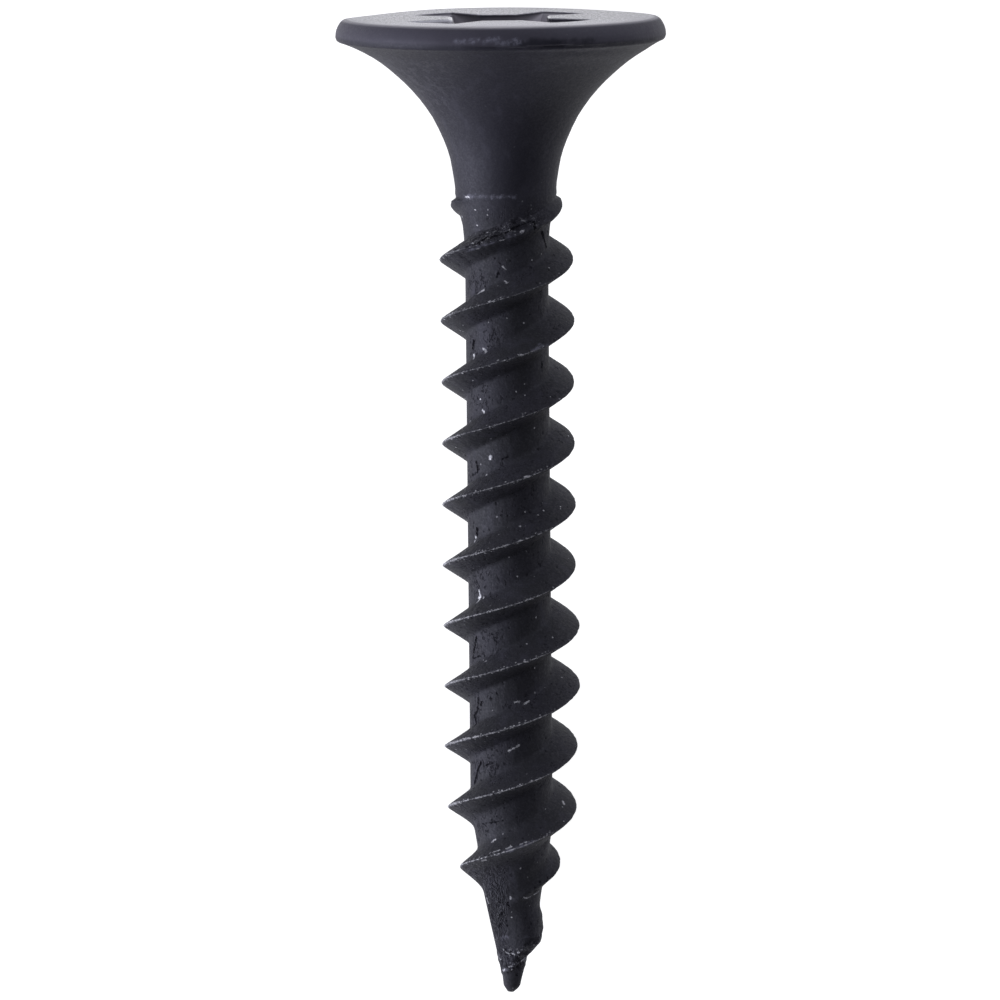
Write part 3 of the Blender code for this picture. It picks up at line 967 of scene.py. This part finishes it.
def black_phosphate(bare_marks, scuff_marks, dark_marks):
    """Matt blue-black crystals on steel, mottled and pitted, and worn along the crests, with a
    painted reflection on the head's face, painted light in the recess and in the mottle on the
    trumpet's left, painted highlights on the land's edge and on the flakes near the tip, and painted
    shade under the lip and the collar.
    """
    material = bpy.data.materials.new("black_phosphate")
    nodes = Nodes(material)
    noise, fade, times, plus, most = nodes.noise, nodes.fade, nodes.times, nodes.plus, nodes.most
    place = screw_place(nodes)
    crest, face_or_recess, thread, torn, pitted, rugged, painted_shade, smeared = (
        nodes.add("Attribute", attribute_name=name).outputs["Fac"] for name in
        ("crest", "head_face", "thread", "torn", "pitted", "rugged", "painted_shade", "smeared"))
    face = most(face_or_recess, 0.0)
    recess = most(times(face_or_recess, -1.0), 0.0)
    axes = nodes.add("SeparateXYZ", {0: place}).outputs
    across, depth = axes["X"], times(axes["Z"], -1.0)
    bold = plus(fade(thread, 0.0, 1.0, 0.35, 1.0), times(face, 0.65), torn)

    grain = noise(place, 0.055, 4.0, 0.65)
    lumps = noise(place, 0.20, 3.0, 0.6)
    patches = noise(place, 1.1, 2.0, 0.5)
    streaks = noise(nodes.scaled(place, (1.0, 1.0, 0.3)), 0.35, 2.0, 0.6)
    broken = noise(place, 0.08, 2.0, 0.7)
    nicks = noise(place, 0.06, 1.0, 0.6)
    sparkle = noise(nodes.scaled(place, (1.0, 0.3, 1.0)), 0.08, 3.0, 0.8)
    flakes = noise(nodes.scaled(place, (1.0, 1.0, 0.7)), 0.26, 3.0, 0.75, 0.6)
    flakes = nodes.math("ABSOLUTE", plus(flakes, -0.5))
    uneven = plus(broken, -0.5)
    fine = plus(grain, -0.5)

    # Holes: pits, hairline and named cracks, torn steel, gaps in the crests and seams of flakes
    pit_distance, pit_pick = nodes.cells(place, 0.15)
    pit_count = plus(times(pitted, 0.78), times(plus(patches, -0.5), 0.5), -1.0)
    pits = times(fade(plus(pit_distance, uneven), 0.10, 0.30, 1.0, 0.0),
                 fade(plus(pit_pick, pit_count), 0.0, 0.05), thread)
    thin = noise(nodes.scaled(place, (1.0, 1.0, 0.38)), 0.3, 3.0, 0.6, 0.4)
    line = plus(nodes.math("ABSOLUTE", plus(thin, -0.5)), times(pitted, -0.008))
    hairlines = times(fade(line, 0.005, 0.018, 1.0, 0.0), thread, fade(broken, 0.40, 0.54),
                      fade(plus(patches, times(pitted, 0.26)), 0.58, 0.66))
    bold_marks = [mark for mark in dark_marks if mark[2] >= BOLD_CRACK * PIXEL]
    fine_marks = [mark for mark in dark_marks if mark[2] < BOLD_CRACK * PIXEL]
    bold_gap, fine_gap = (plus(nodes.gap_to(place, marks), times(uneven, 0.17), -0.004)
                          for marks in (bold_marks, fine_marks))
    bold_cracks, fine_cracks = (fade(gap, -0.012, 0.02, 0.85, 0.0) for gap in (bold_gap, fine_gap))
    ripped = times(fade(lumps, 0.55, 0.60), torn, 0.6)
    near_crest = fade(crest, 0.03, 0.09, 1.0, 0.0)
    bead_distance, bead_pick = nodes.cells(place, 0.075)
    to_left = fade(across, 0.5, 1.3, 1.0, 0.1)
    gaps = times(fade(bead_distance, 0.22, 0.45, 1.0, 0.0), fade(bead_pick, 0.34, 0.22),
                 near_crest, to_left)
    seams = times(fade(flakes, 0.008, 0.036, 0.55, 0.0), fade(rugged, 0.1, 0.7))
    deep_holes = most(times(pits, 0.5), times(hairlines, 0.5), bold_cracks, ripped,
                      times(gaps, 0.7), seams)
    holes = most(deep_holes, fine_cracks)

    # Bare steel: specks, worn crests with beads on them, named marks and torn edges
    speck_distance, speck_pick = nodes.cells(place, 0.22)
    specks = times(fade(plus(speck_distance, times(uneven, 0.3)), 0.04, 0.13, 1.0, 0.0),
                   fade(speck_pick, 0.72, 0.92), fade(thread, 0.0, 1.0, 0.06, 1.0))
    beads = times(fade(bead_distance, 0.22, 0.42, 1.0, 0.0), fade(bead_pick, 0.66, 0.84),
                  near_crest, fade(across, -1.5, -0.9, 1.5, 1.0))
    wear_reach = plus(fade(depth, 7.0, 17.0, 0.006, 0.013), fade(across, -1.5, -1.0, 0.02, 0.0))
    rim_of_wear = plus(crest, times(fine, 0.12), times(uneven, 0.06), times(wear_reach, -1.0))
    worn = times(fade(rim_of_wear, -0.012, 0.008, 1.0, 0.0), fade(nicks, 0.40, 0.56, 0.25, 1.0))
    worn = times(most(worn, times(beads, 0.9)), to_left, fade(depth, 5.5, 13.0, 0.55, 1.0))
    bare_gap = plus(nodes.gap_to(place, bare_marks), times(uneven, 0.10), times(fine, 0.16))
    ragged = times(fade(lumps, 0.46, 0.40), fade(nicks, 0.50, 0.62), torn, 0.4)
    bare = most(specks, worn, fade(bare_gap, -0.012, 0.014, 1.0, 0.0), ragged)

    # Scuffs: named ones, and the smears on the lip
    scuff_gap = plus(nodes.gap_to(place, scuff_marks), times(fine, 0.16),
                     times(plus(lumps, -0.5), 0.36))
    scuff = most(times(fade(scuff_gap, -0.07, 0.07, 1.0, 0.0), fade(broken, 0.3, 0.65, 0.3, 1.0)),
                 times(smeared, fade(broken, 0.38, 0.62, 0.25, 1.0)))

    # Tone, from the plain coating up
    flecks = times(fade(sparkle, 0.40, 0.58, 1.0, 0.0), fade(face, 0.6, 1.0),
                   fade(axes["Y"], -3.2, -0.5), 0.75)
    # Mottle on the left of the trumpet only, partly painted light there
    mottle_and_left_light = times(fade(lumps, 0.48, 0.62), fade(across, -1.8, -1.0, 0.35, 0.0),
                    fade(depth, 0.7, 1.1), fade(depth, 1.8, 3.6, 1.0, 0.2))
    # Painted highlights on the flakes at the left of the tip
    lit_flakes = times(fade(flakes, 0.09, 0.16), fade(broken, 0.48, 0.6), rugged, 0.7)
    tone = nodes.mix(thread, HEAD_TONE, THREAD_TONE)
    for share, colour in (
        (fade(patches, 0.35, 0.65, 0.0, 0.6), PATCH_TONE),
        (times(fade(grain, 0.45, 0.75), 0.45, bold), CRYSTAL_TONE),
        (times(fade(streaks, 0.5, 0.75), 0.30), STREAK_TONE),
        (fade(face_or_recess, 0.0, 0.05), RIM_TONE),
        # The face's pale grey is a painted reflection of the bright surroundings, broken by dim
        # flecks
        (fade(face, 0.05, 1.0), nodes.mix(flecks, FACE_REFLECTION_TONE, FLECK_TONE)),
        # A painted highlight on the recess's rounded edge, where the face's share goes over 1
        (fade(face_or_recess, 1.0, 1.5, 0.0, 0.8), EDGE_HIGHLIGHT_TONE),
        # Painted light in the recess, a little stronger towards the right, where its wall lies in
        # shade
        (times(recess, fade(across, -1.6, 1.2, 0.8, 1.0)), RECESS_LIGHT_TONE),
        (mottle_and_left_light, MOTTLE_AND_LEFT_LIGHT_TONE),
        # Painted shade under the lip and the collar
        (times(painted_shade, 0.8), PAINTED_SHADE_TONE),
        (times(scuff, 0.7), SCUFF_TONE),
        (lit_flakes, FLAKE_HIGHLIGHT_TONE),
        (holes, HOLE_TONE),
        (bare, nodes.mix(fade(grain, 0.35, 0.65), DULL_STEEL, BRIGHT_STEEL)),
    ):
        tone = nodes.mix(share, tone, colour)

    height = plus(times(fade(flakes, 0.0, 0.14), rugged, FLAKE_RELIEF),
                  times(lumps, plus(bold, times(pitted, 0.6)), LUMP_RELIEF),
                  times(grain, bold, GRAIN_RELIEF), times(deep_holes, HOLE_RELIEF),
                  nodes.least(bold_gap, 0.0), times(fade(lumps, 0.40, 0.60), torn, TEAR_RELIEF))
    relief = nodes.add("Bump", {"Height": height, "Distance": MM, "Strength": 1.0}).outputs[0]
    dull = plus(fade(grain, 0.3, 0.7, 0.72, 0.58), times(thread, 0.06))
    inputs = material.node_tree.nodes["Principled BSDF"].inputs
    nodes.link(tone, inputs["Base Color"])
    nodes.link(plus(dull, times(face, -0.34), times(holes, 0.3)), inputs["Roughness"])
    nodes.link(most(times(bare, 0.8), times(holes, holes, 0.8)), inputs["Metallic"])
    nodes.link(relief, inputs["Normal"])
    inputs["Specular IOR Level"].default_value = SPECULAR_LEVEL
    inputs["Specular Tint"].default_value = (*SPECULAR_TINT, 1.0)
    return material


def floor_material():
    """Pale and plain. To the camera and in reflections it is a little lighter than its light
    makes it, as paper lit from behind, and it keeps the shadow."""
    material = bpy.data.materials.new("pale_floor")
    nodes = Nodes(material)
    inputs = material.node_tree.nodes["Principled BSDF"].inputs
    inputs["Roughness"].default_value = 1.0
    inputs["Specular IOR Level"].default_value = 0.0
    place = nodes.add("TexCoord").outputs["Object"]
    tint = nodes.noise(place, 0.02, 3.0)
    tone = nodes.mix(tint, [FLOOR_TONE] * 3, [FLOOR_TONE + 0.01] * 3)
    nodes.link(tone, inputs["Base Color"])
    nodes.link(seen(nodes), inputs["Emission Strength"])
    inputs["Emission Color"].default_value = (FLOOR_GLOW, FLOOR_GLOW, FLOOR_GLOW, 1.0)
    return material


def seen(nodes):
    """1 for the camera and in reflections, 0 for the light that falls on the screw."""
    path = nodes.add("LightPath")
    rays = [path.outputs[name] for name in ("Is Camera Ray", "Is Glossy Ray", "Is Transmission Ray")]
    return nodes.least(nodes.plus(*rays), 1.0)


# Camera, floor and light


def put_in(name, data):
    """A new object in the scene."""
    made = bpy.data.objects.new(name, data)
    bpy.context.scene.collection.objects.link(made)
    return made


def photo_camera():
    """The photograph's camera, set against the lying screw."""
    place, level, upward, ahead = photo_view()
    data = bpy.data.cameras.new("photo_camera")
    data.sensor_width = SENSOR
    data.lens = FOCAL_PIXELS * SENSOR / IMAGE_SIZE
    data.shift_x = -(MIDDLE_PIXEL[0] - IMAGE_SIZE / 2) / IMAGE_SIZE
    data.shift_y = (MIDDLE_PIXEL[1] - IMAGE_SIZE / 2) / IMAGE_SIZE
    data.clip_start = 0.001
    camera = put_in("photo_camera", data)
    turn = Matrix((level, upward, -ahead)).transposed().to_4x4()
    camera.matrix_world = REST @ Matrix.Translation(place * MM) @ turn
    bpy.context.scene.camera = camera


def floor():
    """The surface that the screw lies on."""
    mesh = bpy.data.meshes.new("floor")
    corners = ((-1, -1), (1, -1), (1, 1), (-1, 1))
    mesh.from_pydata([(x * FLOOR_HALF, y * FLOOR_HALF, 0) for x, y in corners], [], [(0, 1, 2, 3)])
    mesh.materials.append(floor_material())
    made = put_in("floor", mesh)


def lamp(name, aim_from, size, watts):
    """A square lamp aimed at the screw."""
    data = bpy.data.lights.new(name, "AREA")
    data.shape = "SQUARE"
    data.size = size
    data.energy = watts
    data.color = LIGHT_TINT
    made = put_in(name, data)
    made.location = aim_from
    made.rotation_euler = (-Vector(aim_from)).to_track_quat("-Z", "Y").to_euler()


def light():
    """A sky of window light, which the camera sees as white, and two softboxes."""
    world = bpy.data.worlds.new("studio")
    bpy.context.scene.world = world
    nodes = Nodes(world)
    sky = world.node_tree.nodes["Background"]
    way = nodes.add("SeparateXYZ", {0: nodes.add("TexCoord").outputs["Generated"]}).outputs
    rise, end = (nodes.math("ABSOLUTE", way[axis]) for axis in "ZY")
    toward = nodes.plus(*(nodes.times(way[axis], w) for axis, w in zip("XY", WINDOW_WAY)))
    glow = nodes.times(nodes.fade(rise, *RISE_SPAN, HORIZON_LIGHT, ZENITH_LIGHT),
                       nodes.fade(toward, *SIDE_SPAN, FAR_SIDE, 1.0),
                       nodes.fade(end, *END_SPAN, 1.0, END_LIGHT))
    camera = nodes.add("LightPath").outputs["Is Camera Ray"]
    unseen = nodes.plus(1.0, nodes.times(camera, -1.0))
    nodes.link(nodes.plus(nodes.times(glow, unseen), camera), sky.inputs["Strength"])
    nodes.link(nodes.mix(camera, LIGHT_TINT, (1.0, 1.0, 1.0)), sky.inputs["Color"])
    for name, settings in SOFTBOXES.items():
        lamp(name, *settings)


photo_camera()
floor()
light()

skin_mesh, front_marks = screw_mesh()
screw = put_in("screw_skin", skin_mesh)
screw.data.materials.append(black_phosphate(*front_marks))
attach(screw, "root")
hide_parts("screw")
bpy.context.scene.view_settings.view_transform = "Standard"
